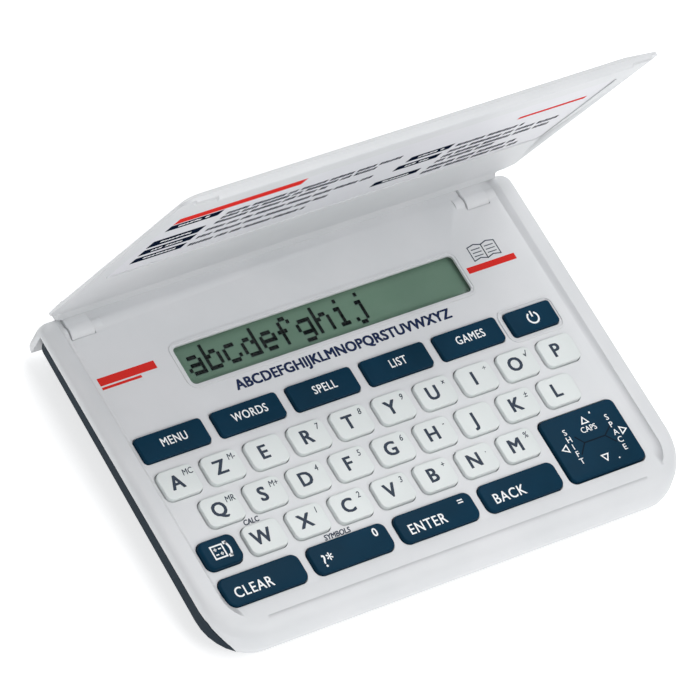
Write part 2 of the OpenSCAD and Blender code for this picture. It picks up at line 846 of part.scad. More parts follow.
wide_key(3);  // back_key
nav_rocker();
nav_pad();
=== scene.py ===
"""Looks of a pocket electronic dictionary with a hinged lid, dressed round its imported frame."""

import json
import logging
import math
from dataclasses import dataclass
from enum import Enum
from typing import Any, Callable, Iterable, Optional, Sequence

import bmesh
import bpy
from mathutils import Matrix, Vector


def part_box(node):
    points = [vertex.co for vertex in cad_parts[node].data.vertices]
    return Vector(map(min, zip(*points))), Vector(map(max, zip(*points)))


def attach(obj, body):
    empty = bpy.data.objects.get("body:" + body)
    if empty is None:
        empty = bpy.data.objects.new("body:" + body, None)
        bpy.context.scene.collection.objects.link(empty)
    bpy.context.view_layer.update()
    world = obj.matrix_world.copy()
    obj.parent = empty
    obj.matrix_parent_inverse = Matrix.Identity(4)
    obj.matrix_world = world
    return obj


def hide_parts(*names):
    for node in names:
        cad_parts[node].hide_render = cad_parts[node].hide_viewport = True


LOG = logging.getLogger("dictionary")
MM = 0.001
ABS_IOR = 1.53
FILM_IOR = 1.5

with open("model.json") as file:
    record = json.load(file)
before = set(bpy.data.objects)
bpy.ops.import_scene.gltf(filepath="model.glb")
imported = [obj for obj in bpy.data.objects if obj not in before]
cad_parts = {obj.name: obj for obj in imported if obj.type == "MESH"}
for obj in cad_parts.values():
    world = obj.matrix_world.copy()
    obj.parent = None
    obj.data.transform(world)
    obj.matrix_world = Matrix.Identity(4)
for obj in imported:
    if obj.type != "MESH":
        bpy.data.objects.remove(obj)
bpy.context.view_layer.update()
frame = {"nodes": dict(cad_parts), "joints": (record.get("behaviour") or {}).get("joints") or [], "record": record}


def linear(code: str) -> tuple[float, float, float, float]:
    """Turns an sRGB hex colour to a linear one.

    Args:
        code: six hex digits, with or without a leading hash.

    Returns:
        Red, green, blue and an alpha of 1, in linear light.
    """
    code = code.lstrip("#")
    parts = [int(code[i:i + 2], 16) / 255 for i in (0, 2, 4)]
    bent = [c / 12.92 if c <= 0.04045 else ((c + 0.055) / 1.055) ** 2.4 for c in parts]
    return (bent[0], bent[1], bent[2], 1.0)


def add_node(tree: bpy.types.NodeTree, kind: str, settings: Optional[dict[Any, Any]] = None,
             links: Optional[dict[Any, Any]] = None) -> bpy.types.Node:
    """Adds one node to a tree.

    Args:
        tree: the node tree.
        kind: the node's type name.
        settings: attributes by name, or input values by name or number.
        links: output sockets by the name or number of the input that each feeds.

    Returns:
        The new node.
    """
    node = tree.nodes.new(kind)
    for name, value in (settings or {}).items():
        if isinstance(name, str) and hasattr(node, name):
            setattr(node, name, value)
        else:
            node.inputs[name].default_value = value
    for name, socket in (links or {}).items():
        tree.links.new(socket, node.inputs[name])
    return node


def new_material(name: str) -> tuple[bpy.types.Material, bpy.types.NodeTree]:
    """Makes an empty node material.

    Args:
        name: the material's name.

    Returns:
        The material and its emptied node tree.
    """
    material = bpy.data.materials.new(name)
    material.use_nodes = True
    material.node_tree.nodes.clear()
    return material, material.node_tree


def set_ramp(ramp: bpy.types.Node, low: tuple[float, str], high: tuple[float, str]) -> None:
    """Sets the two stops of a colour ramp.

    Args:
        ramp: the Color Ramp node.
        low: the first stop's position and sRGB hex colour.
        high: the last stop's position and sRGB hex colour.
    """
    for stop, (position, code) in zip(ramp.color_ramp.elements, (low, high)):
        stop.color = linear(code)
        stop.position = position


@dataclass(frozen=True)
class Coating:
    """What all finishes share: a name, and a material that ends in the finish's own surface."""

    name: str

    def surface(self, tree: bpy.types.NodeTree, place: bpy.types.NodeSocket) -> bpy.types.NodeSocket:
        """Builds the finish's nodes.

        Args:
            tree: the material's node tree.
            place: the Object coordinates.

        Returns:
            The shader's output.
        """
        raise NotImplementedError

    def material(self) -> bpy.types.Material:
        """Builds the finish's material.

        Returns:
            The material.
        """
        material, tree = new_material(self.name)
        place = add_node(tree, "ShaderNodeTexCoord").outputs["Object"]
        add_node(tree, "ShaderNodeOutputMaterial", links={"Surface": self.surface(tree, place)})
        return material


@dataclass(frozen=True)
class MouldedPlastic(Coating):
    """ABS or a like plastic from a spark-eroded mould: a fine even grain under a soft sheen.

    The grain is drawn coarser than the real one's 0.04 mm, which wouldn't show in a render.
    """

    colour: str
    shade: str
    roughness: float
    grain_mm: float = 0.12
    relief_mm: float = 0.004
    edge_mm: float = 0.12
    gloss: float = 0.4
    cloud_mm: float = 14.0
    swing: float = 0.05
    relief_share: float = 0.35

    def surface(self, tree: bpy.types.NodeTree, place: bpy.types.NodeSocket) -> bpy.types.NodeSocket:
        """Builds cloudy tint, uneven sheen, mould grain and softened edges.

        Args:
            tree: the material's node tree.
            place: the Object coordinates.

        Returns:
            The shader's output.
        """
        cloud = add_node(tree, "ShaderNodeTexNoise", {"Scale": 1 / (self.cloud_mm * MM), "Detail": 3.0},
                         {"Vector": place})
        grain = add_node(tree, "ShaderNodeTexNoise", {"Scale": 1 / (self.grain_mm * MM), "Detail": 2.0},
                         {"Vector": place})
        tint = add_node(tree, "ShaderNodeValToRGB", links={"Fac": cloud.outputs["Fac"]})
        set_ramp(tint, (0.3, self.shade), (0.7, self.colour))
        sheen = add_node(tree, "ShaderNodeMapRange", {"To Min": self.roughness - self.swing,
                                                      "To Max": self.roughness + self.swing},
                         {"Value": cloud.outputs["Fac"]})
        edge = add_node(tree, "ShaderNodeBevel", {"samples": 4, "Radius": self.edge_mm * MM})
        bump = add_node(tree, "ShaderNodeBump",
                        {"Strength": self.relief_share, "Distance": self.relief_mm * MM},
                        {"Height": grain.outputs["Fac"], "Normal": edge.outputs["Normal"]})
        shader = add_node(tree, "ShaderNodeBsdfPrincipled",
                          {"IOR": ABS_IOR, "Specular IOR Level": self.gloss},
                          {"Base Color": tint.outputs["Color"], "Roughness": sheen.outputs["Result"],
                           "Normal": bump.outputs["Normal"]})
        return shader.outputs["BSDF"]


@dataclass(frozen=True)
class InkAndPaintedShade(Coating):
    """Pad-printed ink, also used for painted shadow and painted shade: a thin flat film, a little paler and darker
    from spot to spot.
    """

    colour: str
    roughness: float = 0.45
    gloss: float = 0.2
    patch_mm: float = 0.25
    thin: float = 0.9
    thick: float = 1.1

    def surface(self, tree: bpy.types.NodeTree, place: bpy.types.NodeSocket) -> bpy.types.NodeSocket:
        """Builds one colour, paler where the film is thin.

        Args:
            tree: the material's node tree.
            place: the Object coordinates.

        Returns:
            The shader's output.
        """
        film = add_node(tree, "ShaderNodeTexNoise", {"Scale": 1 / (self.patch_mm * MM), "Detail": 2.0},
                        {"Vector": place})
        cover = add_node(tree, "ShaderNodeHueSaturation", {"Color": linear(self.colour)})
        spread = add_node(tree, "ShaderNodeMapRange", {"To Min": self.thin, "To Max": self.thick},
                          {"Value": film.outputs["Fac"]})
        tree.links.new(spread.outputs["Result"], cover.inputs["Value"])
        shader = add_node(tree, "ShaderNodeBsdfPrincipled",
                          {"Roughness": self.roughness, "IOR": FILM_IOR, "Specular IOR Level": self.gloss},
                          {"Base Color": cover.outputs["Color"]})
        return shader.outputs["BSDF"]


@dataclass(frozen=True)
class ClearSheet(Coating):
    """Polished acrylic: nearly invisible but for its reflections."""

    tint: str = "#FAFCFB"
    shine: float = 0.012
    wipe_mm: float = 9.0
    smooth: float = 0.03
    wiped: float = 0.09

    def surface(self, tree: bpy.types.NodeTree, place: bpy.types.NodeSocket) -> bpy.types.NodeSocket:
        """Builds a thin film of gloss with faint wiping marks.

        Args:
            tree: the material's node tree.
            place: the Object coordinates.

        Returns:
            The shader's output.
        """
        wipes = add_node(tree, "ShaderNodeTexNoise", {"Scale": 1 / (self.wipe_mm * MM), "Detail": 4.0},
                         {"Vector": place})
        rough = add_node(tree, "ShaderNodeMapRange", {"To Min": self.smooth, "To Max": self.wiped},
                         {"Value": wipes.outputs["Fac"]})
        clear = add_node(tree, "ShaderNodeBsdfTransparent", {"Color": linear(self.tint)})
        gloss = add_node(tree, "ShaderNodeBsdfGlossy", links={"Roughness": rough.outputs["Result"]})
        both = add_node(tree, "ShaderNodeMixShader", {"Fac": self.shine},
                        {1: clear.outputs["BSDF"], 2: gloss.outputs["BSDF"]})
        return both.outputs["Shader"]


@dataclass(frozen=True)
class DisplayGlass(Coating):
    """A reflective liquid-crystal cell: grey-green and faintly cloudy, under a satin film."""

    light: str
    dark: str
    grain_mm: float = 0.2
    cloud_mm: float = 30.0
    grain_share: float = 0.25
    roughness: float = 0.5
    gloss: float = 0.15

    def surface(self, tree: bpy.types.NodeTree, place: bpy.types.NodeSocket) -> bpy.types.NodeSocket:
        """Builds slow clouds, fine reflector grain and a satin surface.

        Args:
            tree: the material's node tree.
            place: the Object coordinates.

        Returns:
            The shader's output.
        """
        grain = add_node(tree, "ShaderNodeTexNoise", {"Scale": 1 / (self.grain_mm * MM), "Detail": 2.0},
                         {"Vector": place})
        cloud = add_node(tree, "ShaderNodeTexNoise", {"Scale": 1 / (self.cloud_mm * MM), "Detail": 1.0},
                         {"Vector": place})
        both = add_node(tree, "ShaderNodeMath", {"operation": "MULTIPLY_ADD", 1: self.grain_share},
                        {0: grain.outputs["Fac"], 2: cloud.outputs["Fac"]})
        tint = add_node(tree, "ShaderNodeValToRGB", links={"Fac": both.outputs["Value"]})
        set_ramp(tint, (0.4, self.dark), (0.85, self.light))
        shader = add_node(tree, "ShaderNodeBsdfPrincipled",
                          {"Roughness": self.roughness, "IOR": FILM_IOR, "Specular IOR Level": self.gloss},
                          {"Base Color": tint.outputs["Color"]})
        return shader.outputs["BSDF"]


@dataclass(frozen=True)
class SheetMetal(Coating):
    """Sheet metal and screws, rolled or turned: bright, with fine streaks that spread the highlight."""

    colour: str
    roughness: float
    streak_mm: float = 1.2
    squeeze: float = 14.0
    relief_mm: float = 0.003
    smoother: float = 0.08
    rougher: float = 0.12

    def surface(self, tree: bpy.types.NodeTree, place: bpy.types.NodeSocket) -> bpy.types.NodeSocket:
        """Builds metal with streaked roughness and a hair-fine bump.

        Args:
            tree: the material's node tree.
            place: the Object coordinates.

        Returns:
            The shader's output.
        """
        drawn = add_node(tree, "ShaderNodeMapping", {"Scale": (1.0, self.squeeze, self.squeeze)},
                         {"Vector": place})
        marks = add_node(tree, "ShaderNodeTexNoise", {"Scale": 1 / (self.streak_mm * MM), "Detail": 3.0},
                         {"Vector": drawn.outputs["Vector"]})
        rough = add_node(tree, "ShaderNodeMapRange", {"To Min": self.roughness - self.smoother,
                                                      "To Max": self.roughness + self.rougher},
                         {"Value": marks.outputs["Fac"]})
        bump = add_node(tree, "ShaderNodeBump", {"Strength": 0.2, "Distance": self.relief_mm * MM},
                        {"Height": marks.outputs["Fac"]})
        shader = add_node(tree, "ShaderNodeBsdfPrincipled",
                          {"Base Color": linear(self.colour), "Metallic": 1.0},
                          {"Roughness": rough.outputs["Result"], "Normal": bump.outputs["Normal"]})
        return shader.outputs["BSDF"]


class Finish(Enum):
    """The finishes of the object, each named for what the real surface is, except the painted shadow and painted
    shade at the end.
    """

    # Moulded ABS of the case: matt, with a broad soft highlight; the dark one takes almost no shine.
    WHITE_SHELL = MouldedPlastic("white_moulded_abs", "#DFE0E2", "#D9DBDD", 0.42, gloss=0.3)
    DARK_SHELL = MouldedPlastic("slate_moulded_abs", "#1A2B36", "#172631", 0.5, gloss=0.12)
    # Keys and inner plastics: a finer grain, so the caps look smoother and a little shinier than the case.
    LETTER_KEY = MouldedPlastic("pale_keycap_abs", "#E2E7E6", "#DCE1E0", 0.36, 0.2, 0.003)
    BLUE_KEY = MouldedPlastic("ink_blue_keycap_abs", "#06334A", "#052D41", 0.42, 0.2, 0.003, gloss=0.07)
    INNER_PART = MouldedPlastic("black_inner_abs", "#24282B", "#202427", 0.5)
    # Rubber, board and resin: dull rubber, a glassy green mask and a wet-looking drop of resin.
    KEY_RUBBER = MouldedPlastic("silicone_key_sheet", "#D4D7D1", "#CBCEC8", 0.6, 0.3, 0.006)
    ZEBRA_RUBBER = MouldedPlastic("striped_contact_rubber", "#4A4A50", "#3C3C42", 0.6)
    BOARD = MouldedPlastic("green_solder_mask", "#2E6A45", "#29603E", 0.3, 0.6, 0.006)
    RESIN = MouldedPlastic("cured_chip_resin", "#16181B", "#121417", 0.22, 0.8, 0.01)
    # Laminated card: smooth and bluish white, with hardly any relief.
    CARD = MouldedPlastic("laminated_card", "#E4E4E8", "#DEDEE3", 0.4, 0.4, 0.001, 0.05, 0.2)
    # Metals: greyish zinc plate, brighter stainless steel and yellow bronze, all finely streaked.
    STEEL = SheetMetal("zinc_plated_steel", "#B9BCBE", 0.35)
    CELL_CAN = SheetMetal("stainless_cell_can", "#C6C8CA", 0.25)
    CONTACT = SheetMetal("sprung_bronze_strip", "#C6A766", 0.3)
    # Display: a window that shows only as faint gloss, over a satin grey-green cell.
    WINDOW = ClearSheet("clear_acrylic_window")
    DISPLAY = DisplayGlass("display_cell", "#76917F", "#688273")
    # Inks: flat films that are duller than what they lie on. The last three are the display's and the pad's: the
    # display's dots, a painted shadow of those dots, and painted shade in the pad's creases.
    SLATE_INK = InkAndPaintedShade("slate_ink", "#333E4E")
    NAVY_INK = InkAndPaintedShade("navy_ink", "#15264C")
    CARD_INK = InkAndPaintedShade("blue_black_card_ink", "#101A2C", 0.6, 0.0)
    WHITE_INK = InkAndPaintedShade("white_ink", "#F4F6F7")
    RED_INK = InkAndPaintedShade("red_ink", "#D9342F", 0.6, 0.0)
    DOT_INK = InkAndPaintedShade("display_dot", "#0A0D10", 0.5, 0.05)
    DOT_PAINTED_SHADOW = InkAndPaintedShade("display_dot_painted_shadow", "#5C7268", 0.6, 0.05)
    GROOVE_PAINTED_SHADE = InkAndPaintedShade("groove_painted_shade", "#061C2B", 0.6, 0.1)


_materials: dict[Finish, bpy.types.Material] = {}


def material_of(finish: Finish) -> bpy.types.Material:
    """Returns the material of a finish, made when it is first asked for.

    Args:
        finish: the finish.

    Returns:
        Its one material.
    """
    if finish not in _materials:
        _materials[finish] = finish.value.material()
    return _materials[finish]


def dress(piece: bpy.types.Object, finish: Finish) -> None:
    """Gives a piece its finish, in one material slot.

    Args:
        piece: the object to dress.
        finish: the finish it gets.
    """
    piece.data.materials.clear()
    piece.data.materials.append(material_of(finish))


def body_of(node: str) -> str:
    """Returns the body that a CAD node belongs to."""
    bodies = frame["record"]["behaviour"]["bodies"]
    return next(body for body, members in bodies.items() if node in members)


def new_piece(name: str, mesh: bpy.types.ID) -> bpy.types.Object:
    """Links a mesh or curve to the scene as a piece at the origin.

    Args:
        name: the piece's name.
        mesh: its mesh or curve.

    Returns:
        The new piece.
    """
    piece = bpy.data.objects.new(name, mesh)
    bpy.context.scene.collection.objects.link(piece)
    return piece


def baked(piece: bpy.types.Object) -> bpy.types.Mesh:
    """Bakes a piece's modifiers or text.

    Args:
        piece: the piece, which stays as it is.

    Returns:
        Its evaluated mesh.
    """
    graph = bpy.context.evaluated_depsgraph_get()
    graph.update()
    return bpy.data.meshes.new_from_object(piece.evaluated_get(graph))


MERGE_MM = 0.001
FLAT_DEG = 0.4


def clean_copy(node: str) -> bmesh.types.BMesh:
    """Copies a CAD node's surface with its loose triangles merged into flat faces.

    Args:
        node: the CAD node's name.

    Returns:
        A bmesh in the row frame, which the caller frees.
    """
    work = bmesh.new()
    work.from_mesh(frame["nodes"][node].data)
    bmesh.ops.remove_doubles(work, verts=work.verts, dist=MERGE_MM * MM)
    bmesh.ops.dissolve_limit(work, angle_limit=math.radians(FLAT_DEG), verts=work.verts, edges=work.edges)
    return work


def stand_in(node: str, name: str, work: bmesh.types.BMesh, finish: Finish,
             sharp_deg: float) -> bpy.types.Object:
    """Makes a reworked copy of a CAD node's surface the piece that stands for the node.

    Args:
        node: the CAD node's name.
        name: the piece's name.
        work: the reworked surface, which is freed.
        finish: the piece's finish.
        sharp_deg: edges that turn further than this stay sharp.

    Returns:
        The finished piece.
    """
    mesh = bpy.data.meshes.new(name)
    work.to_mesh(mesh)
    work.free()
    for face in mesh.polygons:
        face.use_smooth = True
    mesh.set_sharp_from_angle(angle=math.radians(sharp_deg))
    piece = new_piece(name, mesh)
    dress(piece, finish)
    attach(piece, body_of(node))
    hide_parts(node)
    LOG.info("%s: %d faces", name, len(mesh.polygons))
    return piece


@dataclass
class Shell:
    """A shell of the case or lid, whose curved walls are shaded smooth and whose edges stay sharp."""

    node: str
    name: str
    finish: Finish
    sharp_deg: float = 32

    def build(self) -> bpy.types.Object:
        """Builds the shell over its CAD node and returns it."""
        return stand_in(self.node, self.name, clean_copy(self.node), self.finish, self.sharp_deg)


@dataclass
class KeyCap:
    """A moulded key cap: its CAD solid with the rim of its top rounded over."""

    node: str
    finish: Finish
    round_mm: float
    steps: int = 5
    level_mm: float = 0.01
    turn_rad: float = 0.8
    sharp_deg: float = 35

    def build(self) -> bpy.types.Object:
        """Builds the cap over its CAD node.

        Returns:
            The cap, which stands for the node.
        """
        work = clean_copy(self.node)
        top = max(v.co.z for v in work.verts)
        rim = [e for e in work.edges
               if all(abs(v.co.z - top) < self.level_mm * MM for v in e.verts)
               and e.calc_face_angle(0.0) > self.turn_rad]
        bmesh.ops.bevel(work, geom=rim, offset=self.round_mm * MM, segments=self.steps, profile=0.5,
                        affect="EDGES", loop_slide=False)
        return stand_in(self.node, self.node + "_cap", work, self.finish, self.sharp_deg)


@dataclass(frozen=True)
class Word:
    """A printed word or mark: its text, the middle of its line and its cap height, in millimetres."""

    text: str
    x: float
    y: float
    cap: float
    narrow: float = 1.0
    lean: float = 0.0
    weight: float = 0.0
    align: str = "CENTER"
    spread: float = 1.0


CAP_SHARE = 0.73  # capital height as a share of the font's size
FILM = 0.012  # thickness of a printed film, in millimetres
LIFT = 0.004  # gap under a printed film, in millimetres
BOLD_HIGH = 0.6  # how far a heavy word spreads up and down, as a share of its spread sideways
BOLD_LAYERS = 5  # the copies of a heavy word lie this many to a film's thickness, so none covers another
MITRE_LEAST = 0.35  # keeps the mitre of a very sharp corner short


def word_mesh(word: Word) -> bpy.types.Mesh:
    """Turns a word to a thin mesh in the XY plane, in metres.

    A heavy word is the same word laid over itself, a little to each side.

    Args:
        word: what to print.

    Returns:
        The mesh, with its place applied and its underside at zero.
    """
    size = word.cap / CAP_SHARE
    curve = bpy.data.curves.new("word", "FONT")
    curve.body = word.text
    curve.size = 1.0
    curve.shear = word.lean
    curve.space_character = word.spread
    curve.align_x = word.align
    curve.resolution_u = 3
    curve.extrude = 0.5 * FILM / size
    piece = new_piece("word", curve)
    mesh = baked(piece)
    bpy.data.objects.remove(piece)
    bpy.data.curves.remove(curve)
    sized = (Matrix.Diagonal((size * word.narrow * MM, size * MM, size * MM, 1.0))
             @ Matrix.Translation((0.0, -CAP_SHARE / 2, 0.0)))
    half = word.weight / 2
    shifts = [(0.0, 0.0)]
    if half:
        shifts = [(sx * half, sy * half * BOLD_HIGH) for sx in (-1, 0, 1) for sy in (-1, 1)]
    work = bmesh.new()
    for i, (dx, dy) in enumerate(shifts):
        rise = FILM * (0.5 + i / BOLD_LAYERS)
        copy = mesh.copy()
        copy.transform(Matrix.Translation(((word.x + dx) * MM, (word.y + dy) * MM, rise * MM)) @ sized)
        work.from_mesh(copy)
        bpy.data.meshes.remove(copy)
    work.to_mesh(mesh)
    work.free()
    return mesh


def outline_mesh(points: Sequence[tuple[float, float]], closed: bool, line: float) -> bpy.types.Mesh:
    """Draws a thin printed line through points in the XY plane, mitred at its corners.

    Args:
        points: the line's points, in millimetres.
        closed: whether the last point joins the first.
        line: the line's width, in millimetres.

    Returns:
        A flat closed strip, with its underside at zero.
    """
    spots = [Vector((*p, 0.0)) for p in points]
    count = len(spots)
    work = bmesh.new()
    rings = []
    for i, spot in enumerate(spots):
        before = spots[i - 1] if i or closed else None
        after = spots[(i + 1) % count] if i < count - 1 or closed else None
        sides = ((before, spot), (spot, after))
        ways = [(b - a).normalized() for a, b in sides if a is not None and b is not None]
        normals = [Vector((-w.y, w.x, 0.0)) for w in ways]
        mitre = sum(normals, Vector()).normalized()
        reach = line / 2 / max(MITRE_LEAST, mitre.dot(normals[0]))
        low = [spot - mitre * reach, spot + mitre * reach]
        rings.append([work.verts.new(p * MM) for p in low] +
                     [work.verts.new((p + Vector((0, 0, FILM))) * MM) for p in low[::-1]])
    for i in range(count if closed else count - 1):
        a, b = rings[i], rings[(i + 1) % count]
        for k in range(4):
            work.faces.new((a[k], a[(k + 1) % 4], b[(k + 1) % 4], b[k]))
    if not closed:
        work.faces.new(rings[0][::-1])
        work.faces.new(rings[-1])
    bmesh.ops.recalc_face_normals(work, faces=work.faces)
    mesh = bpy.data.meshes.new("line")
    work.to_mesh(mesh)
    work.free()
    return mesh


def arc(x: float, y: float, r: float, start_deg: float, end_deg: float,
        steps: int) -> list[tuple[float, float]]:
    """Finds points along an arc.

    Args:
        x: the arc's centre, in millimetres.
        y: the same, towards the rear.
        r: its radius, in millimetres.
        start_deg: where it starts, in degrees from the right.
        end_deg: where it ends.
        steps: the number of its straight steps.

    Returns:
        The points, in millimetres.
    """
    span = end_deg - start_deg
    angles = [math.radians(start_deg + span * i / steps) for i in range(steps + 1)]
    return [(x + r * math.cos(a), y + r * math.sin(a)) for a in angles]


def joined(name: str, meshes: Iterable[bpy.types.Mesh], place: Matrix) -> bpy.types.Mesh:
    """Joins meshes and applies one place to them.

    Args:
        name: the new mesh's name.
        meshes: the meshes, which are removed.
        place: the matrix applied to all.

    Returns:
        The joined mesh.
    """
    work = bmesh.new()
    for mesh in meshes:
        work.from_mesh(mesh)
        bpy.data.meshes.remove(mesh)
    result = bpy.data.meshes.new(name)
    work.to_mesh(result)
    work.free()
    result.transform(place)
    return result


def print_on(name: str, meshes: Iterable[bpy.types.Mesh], place: Matrix, finish: Finish,
             body: str) -> bpy.types.Object:
    """Prints flat meshes on a surface as one piece.

    Args:
        name: the piece's name.
        meshes: flat meshes in the XY plane.
        place: where that plane lies on the object.
        finish: the ink.
        body: the body that the print rides on.

    Returns:
        The printed piece.
    """
    piece = new_piece(name, joined(name, meshes, place))
    dress(piece, finish)
    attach(piece, body)
    LOG.info("%s: printed", name)
    return piece


def at_height(z_mm: float) -> Matrix:
    """Returns the place of a level plane at a height."""
    return Matrix.Translation((0.0, 0.0, z_mm * MM))


def bar_mesh(left: float, right: float, y: float, thick: float) -> bpy.types.Mesh:
    """Returns a level printed bar, from its ends, its middle line and its thickness in millimetres."""
    return outline_mesh([(left, y), (right, y)], False, thick)


@dataclass(frozen=True)
class PowerSign:
    """The ring and stem of the power key, with its sizes in millimetres from the middle of the key."""

    x: float = 0.2
    ring_y: float = -0.1
    ring_r: float = 1.35
    ring_deg: tuple[float, float] = (122, 418)
    steps: int = 30
    stem: tuple[float, float] = (0.15, 1.6)
    line: float = 0.42

    def meshes(self, x: float, y: float) -> list[bpy.types.Mesh]:
        """Draws the sign.

        Args:
            x: the middle of the key, in millimetres.
            y: the same, towards the rear.

        Returns:
            The ring and the stem.
        """
        ring = outline_mesh(arc(x + self.x, y + self.ring_y, self.ring_r, *self.ring_deg, self.steps),
                            False, self.line)
        stem = outline_mesh([(x + self.x, y + end) for end in self.stem], False, self.line)
        return [ring, stem]


@dataclass(frozen=True)
class ToolSign:
    """The sign of a calculator beside a handset, with its sizes in millimetres from the middle of the key."""

    left: float = -2.1
    right: float = 0.75
    half_high: float = 1.45
    body_line: float = 0.34
    inset: float = 0.85
    pitch: tuple[float, float] = (1.15, 1.2)
    mark_half: float = 0.36
    mark_line: float = 0.3
    handset_x: float = -0.4
    handset_r: float = 2.6
    handset_deg: float = 38
    handset_line: float = 0.5
    steps: int = 16
    end_x: tuple[float, float] = (1.15, 2.0)
    end_y: float = 1.55
    end_line: float = 0.7

    def meshes(self, x: float, y: float) -> list[bpy.types.Mesh]:
        """Draws the sign.

        Args:
            x: the middle of the key, in millimetres.
            y: the same, towards the rear.

        Returns:
            The calculator's outline, the handset with its two ends, and the calculator's marks.
        """
        left, right, low, high = x + self.left, x + self.right, y - self.half_high, y + self.half_high
        body = outline_mesh([(left, low), (right, low), (right, high), (left, high)], True, self.body_line)
        signs = []
        for col in range(2):
            for row in range(2):
                cx, cy = left + self.inset + col * self.pitch[0], low + self.inset + row * self.pitch[1]
                signs.append(bar_mesh(cx - self.mark_half, cx + self.mark_half, cy, self.mark_line))
                if (col + row) % 2:
                    stroke = [(cx, cy - self.mark_half), (cx, cy + self.mark_half)]
                    signs.append(outline_mesh(stroke, False, self.mark_line))
        curve = arc(x + self.handset_x, y, self.handset_r, -self.handset_deg, self.handset_deg, self.steps)
        handset = outline_mesh(curve, False, self.handset_line)
        ends = [bar_mesh(x + self.end_x[0], x + self.end_x[1], y + side * self.end_y, self.end_line)
                for side in (-1, 1)]
        return [body, handset, *ends, *signs]


@dataclass
class Keyboard:
    """All the key caps and what is printed on them. Offsets are from the middle of a key's top."""

    letter_cap: float = 3.35
    letter_at: tuple[float, float] = (-0.8, 0.25)
    letter_weight: float = 0.26
    letter_round: float = 0.24
    mark_cap: float = 1.5
    mark_at: tuple[float, float] = (2.75, 1.75)
    func_cap: float = 2.05
    func_at: tuple[float, float] = (0.3, 0.3)
    func_round: float = 0.3
    tool_round: float = 0.7
    tool_steps: int = 7
    wide_cap: float = 2.5
    wide_left: float = 2.7
    wide_base: float = 2.0
    wide_round: float = 0.45
    corner_cap: float = 2.0
    corner_in: tuple[float, float] = (3.6, 2.3)

    marks: tuple[tuple[str, str], ...] = (
        ("a", "MC"), ("z", "M-"), ("r", "7"), ("t", "8"), ("y", "9"), ("u", "×"), ("i", "÷"),
        ("o", "√"), ("q", "MR"), ("s", "M+"), ("d", "4"), ("f", "5"), ("g", "6"), ("h", "-"),
        ("k", "±"), ("x", "1"), ("c", "2"), ("v", "3"), ("b", "+"), ("n", "."), ("m", "%"))
    func_words: tuple[str, ...] = ("MENU", "WORDS", "SPELL", "LIST", "GAMES")
    wide_words: tuple[tuple[str, str, str, float], ...] = (
        ("clear_key", "CLEAR", "", 1.0), ("symbol_key", "?*", "0", 1.2),
        ("enter_key", "ENTER", "=", 1.0), ("back_key", "BACK", "", 1.0))

    def middle(self, node: str) -> tuple[float, float, float]:
        """Returns the middle of a key's top, in millimetres."""
        low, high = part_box(node)
        return ((low.x + high.x) / 2 / MM, (low.y + high.y) / 2 / MM, high.z / MM)

    def print_key(self, node: str, words: Sequence[Word], finish: Finish,
                  lines: Sequence[bpy.types.Mesh] = ()) -> None:
        """Prints words and lines on the top of a key.

        Args:
            node: the key's CAD node.
            words: the words to print.
            finish: the ink.
            lines: meshes of lines to print with them.
        """
        top = self.middle(node)[2] + LIFT
        meshes = [word_mesh(w) for w in words] + list(lines)
        print_on(node + "_print", meshes, at_height(top), finish, body_of(node))

    def letters(self) -> None:
        """Builds the letter keys with their letters and small marks."""
        marks = dict(self.marks)
        for node in sorted(n for n in frame["nodes"] if n.startswith("key_") and len(n) == len("key_a")):
            KeyCap(node, Finish.LETTER_KEY, self.letter_round).build()
            x, y, _ = self.middle(node)
            letter = node[-1]
            words = [Word(letter.upper(), x + self.letter_at[0], y + self.letter_at[1], self.letter_cap,
                          weight=self.letter_weight)]
            if letter in marks:
                words.append(Word(marks[letter], x + self.mark_at[0], y + self.mark_at[1], self.mark_cap,
                                  narrow=0.85, lean=0.15, weight=0.03))
            self.print_key(node, words, Finish.SLATE_INK)

    def functions(self) -> None:
        """Builds the function keys, the power key and the tool key."""
        for i, text in enumerate(self.func_words):
            node = f"function_key_{i + 1}"
            KeyCap(node, Finish.BLUE_KEY, self.func_round).build()
            x, y, _ = self.middle(node)
            word = Word(text, x + self.func_at[0], y + self.func_at[1], self.func_cap, narrow=0.82,
                        weight=0.06, spread=1.1)
            self.print_key(node, [word], Finish.WHITE_INK)
        KeyCap("power_key", Finish.BLUE_KEY, self.func_round).build()
        x, y, _ = self.middle("power_key")
        self.print_key("power_key", [], Finish.WHITE_INK, PowerSign().meshes(x, y))
        KeyCap("tool_key", Finish.BLUE_KEY, self.tool_round, self.tool_steps).build()
        x, y, _ = self.middle("tool_key")
        self.print_key("tool_key", [], Finish.WHITE_INK, ToolSign().meshes(x, y))

    def front_row(self) -> None:
        """Builds the wide keys of the front row."""
        for node, text, corner, grow in self.wide_words:
            KeyCap(node, Finish.BLUE_KEY, self.wide_round).build()
            low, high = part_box(node)
            left, right, base, top = low.x / MM, high.x / MM, low.y / MM, high.y / MM
            words = [Word(text, left + self.wide_left, base + self.wide_base + self.wide_cap / 2,
                          self.wide_cap * grow, narrow=0.88, align="LEFT", weight=0.07, spread=1.12)]
            if corner:
                words.append(Word(corner, right - self.corner_in[0], top - self.corner_in[1], self.corner_cap,
                                  narrow=0.95, weight=0.1))
            self.print_key(node, words, Finish.WHITE_INK)

    def build(self) -> None:
        """Builds every key."""
        self.letters()
        self.functions()
        self.front_row()


